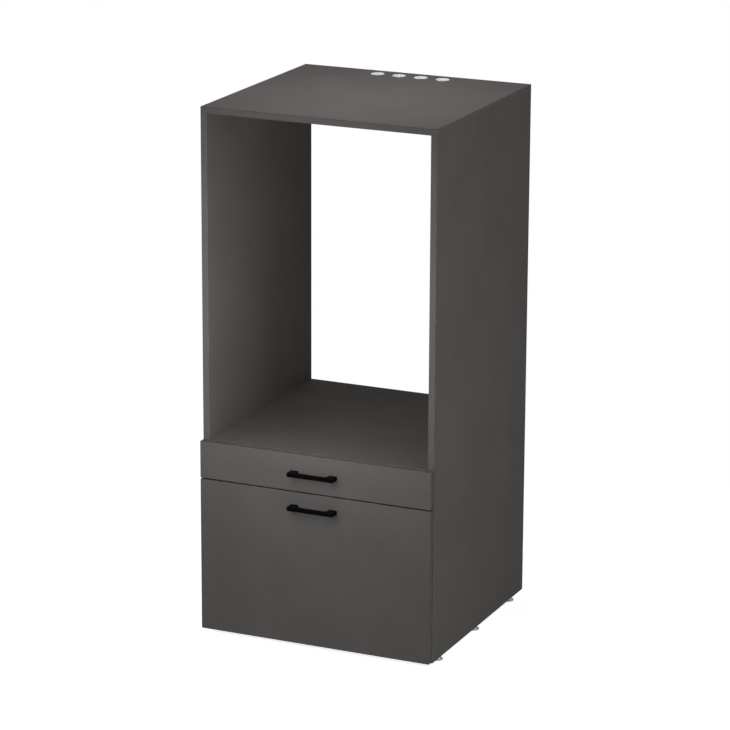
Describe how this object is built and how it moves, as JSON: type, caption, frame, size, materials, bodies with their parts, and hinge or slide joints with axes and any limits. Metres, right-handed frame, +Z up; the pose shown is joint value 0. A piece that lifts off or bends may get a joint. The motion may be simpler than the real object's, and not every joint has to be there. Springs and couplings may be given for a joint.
{
  "type": "washing machine cabinet",
  "caption": "Tall open-backed cabinet with a niche for a washing machine above a shallow and a deep full-extension drawer, with bridge handles, cable sleeves in the top and levelling feet.",
  "frame": {"origin": "on the floor, in the middle of the width and of the depth from the handles to the rear edges", "axes": "+Z up, the front with its drawers faces -Y, +X to the right seen from the front"},
  "size_m": [0.69, 0.696, 1.4558],
  "materials": {
    "anthracite_board": "matte",
    "box_board": "matte",
    "hardboard": "matte",
    "beech": "matte",
    "white_plastic": "satin",
    "grey_plastic": "satin",
    "zinc_steel": "satin",
    "black_handle": "satin",
    "soft_buffer": "satin"
  },
  "bodies": {
    "carcass": {"side_panel_left": "anthracite_board", "side_panel_right": "anthracite_board", "top_panel": "anthracite_board", "niche_floor": "anthracite_board", "bottom_panel": "anthracite_board", "lower_back_panel": "anthracite_board", "dowels": "beech", "cam_locks": "zinc_steel", "cam_bolts": "zinc_steel", "vent_sleeves": "white_plastic", "foot_inserts": "zinc_steel", "upper_cabinet_rail_left": "zinc_steel", "upper_cabinet_rail_right": "zinc_steel", "lower_cabinet_rail_left": "zinc_steel", "lower_cabinet_rail_right": "zinc_steel"},
    "upper_drawer": {"upper_box_left": "box_board", "upper_box_right": "box_board", "upper_box_front": "box_board", "upper_box_back": "box_board", "upper_box_bottom": "hardboard", "upper_drawer_front": "anthracite_board", "upper_handle": "black_handle", "upper_handle_screws": "zinc_steel", "upper_front_buffers": "soft_buffer", "upper_drawer_rail_left": "zinc_steel", "upper_drawer_rail_right": "zinc_steel"},
    "upper_middle_rails": {"upper_middle_rail_left": "zinc_steel", "upper_middle_rail_right": "zinc_steel"},
    "upper_outer_cages": {"upper_outer_ball_cage_left": "zinc_steel", "upper_outer_ball_cage_right": "zinc_steel"},
    "upper_inner_cages": {"upper_inner_ball_cage_left": "zinc_steel", "upper_inner_ball_cage_right": "zinc_steel"},
    "lower_drawer": {"lower_box_left": "box_board", "lower_box_right": "box_board", "lower_box_front": "box_board", "lower_box_back": "box_board", "lower_box_bottom": "hardboard", "lower_drawer_front": "anthracite_board", "lower_handle": "black_handle", "lower_handle_screws": "zinc_steel", "lower_front_buffers": "soft_buffer", "lower_drawer_rail_left": "zinc_steel", "lower_drawer_rail_right": "zinc_steel"},
    "lower_middle_rails": {"lower_middle_rail_left": "zinc_steel", "lower_middle_rail_right": "zinc_steel"},
    "lower_outer_cages": {"lower_outer_ball_cage_left": "zinc_steel", "lower_outer_ball_cage_right": "zinc_steel"},
    "lower_inner_cages": {"lower_inner_ball_cage_left": "zinc_steel", "lower_inner_ball_cage_right": "zinc_steel"},
    "front_left_foot": {"foot_front_left": "grey_plastic"},
    "front_right_foot": {"foot_front_right": "grey_plastic"},
    "middle_left_foot": {"foot_middle_left": "grey_plastic"},
    "middle_right_foot": {"foot_middle_right": "grey_plastic"},
    "rear_left_foot": {"foot_rear_left": "grey_plastic"},
    "rear_right_foot": {"foot_rear_right": "grey_plastic"}
  },
  "joints": [
    {"name": "upper_drawer_slide", "type": "slide", "parent": "carcass", "child": "upper_drawer", "axis": [0, -1, 0], "range_m": [0, 0.55]},
    {"name": "upper_middle_rails_slide", "type": "slide", "parent": "carcass", "child": "upper_middle_rails", "axis": [0, -1, 0], "range_m": [0, 0.275]},
    {"name": "upper_outer_cages_slide", "type": "slide", "parent": "carcass", "child": "upper_outer_cages", "axis": [0, -1, 0], "range_m": [0, 0.1375]},
    {"name": "upper_inner_cages_slide", "type": "slide", "parent": "carcass", "child": "upper_inner_cages", "axis": [0, -1, 0], "range_m": [0, 0.4125]},
    {"name": "lower_drawer_slide", "type": "slide", "parent": "carcass", "child": "lower_drawer", "axis": [0, -1, 0], "range_m": [0, 0.55]},
    {"name": "lower_middle_rails_slide", "type": "slide", "parent": "carcass", "child": "lower_middle_rails", "axis": [0, -1, 0], "range_m": [0, 0.275]},
    {"name": "lower_outer_cages_slide", "type": "slide", "parent": "carcass", "child": "lower_outer_cages", "axis": [0, -1, 0], "range_m": [0, 0.1375]},
    {"name": "lower_inner_cages_slide", "type": "slide", "parent": "carcass", "child": "lower_inner_cages", "axis": [0, -1, 0], "range_m": [0, 0.4125]},
    {"name": "front_left_foot_height", "type": "slide", "parent": "carcass", "child": "front_left_foot", "axis": [0, 0, -1], "range_m": [-0.001, 0.012]},
    {"name": "front_right_foot_height", "type": "slide", "parent": "carcass", "child": "front_right_foot", "axis": [0, 0, -1], "range_m": [-0.001, 0.012]},
    {"name": "middle_left_foot_height", "type": "slide", "parent": "carcass", "child": "middle_left_foot", "axis": [0, 0, -1], "range_m": [-0.001, 0.012]},
    {"name": "middle_right_foot_height", "type": "slide", "parent": "carcass", "child": "middle_right_foot", "axis": [0, 0, -1], "range_m": [-0.001, 0.012]},
    {"name": "rear_left_foot_height", "type": "slide", "parent": "carcass", "child": "rear_left_foot", "axis": [0, 0, -1], "range_m": [-0.001, 0.012]},
    {"name": "rear_right_foot_height", "type": "slide", "parent": "carcass", "child": "rear_right_foot", "axis": [0, 0, -1], "range_m": [-0.001, 0.012]}
  ],
  "couplings": [
    {"joint": "upper_middle_rails_slide", "follows": "upper_drawer_slide", "ratio": 0.5},
    {"joint": "upper_outer_cages_slide", "follows": "upper_drawer_slide", "ratio": 0.25},
    {"joint": "upper_inner_cages_slide", "follows": "upper_drawer_slide", "ratio": 0.75},
    {"joint": "lower_middle_rails_slide", "follows": "lower_drawer_slide", "ratio": 0.5},
    {"joint": "lower_outer_cages_slide", "follows": "lower_drawer_slide", "ratio": 0.25},
    {"joint": "lower_inner_cages_slide", "follows": "lower_drawer_slide", "ratio": 0.75}
  ]
}
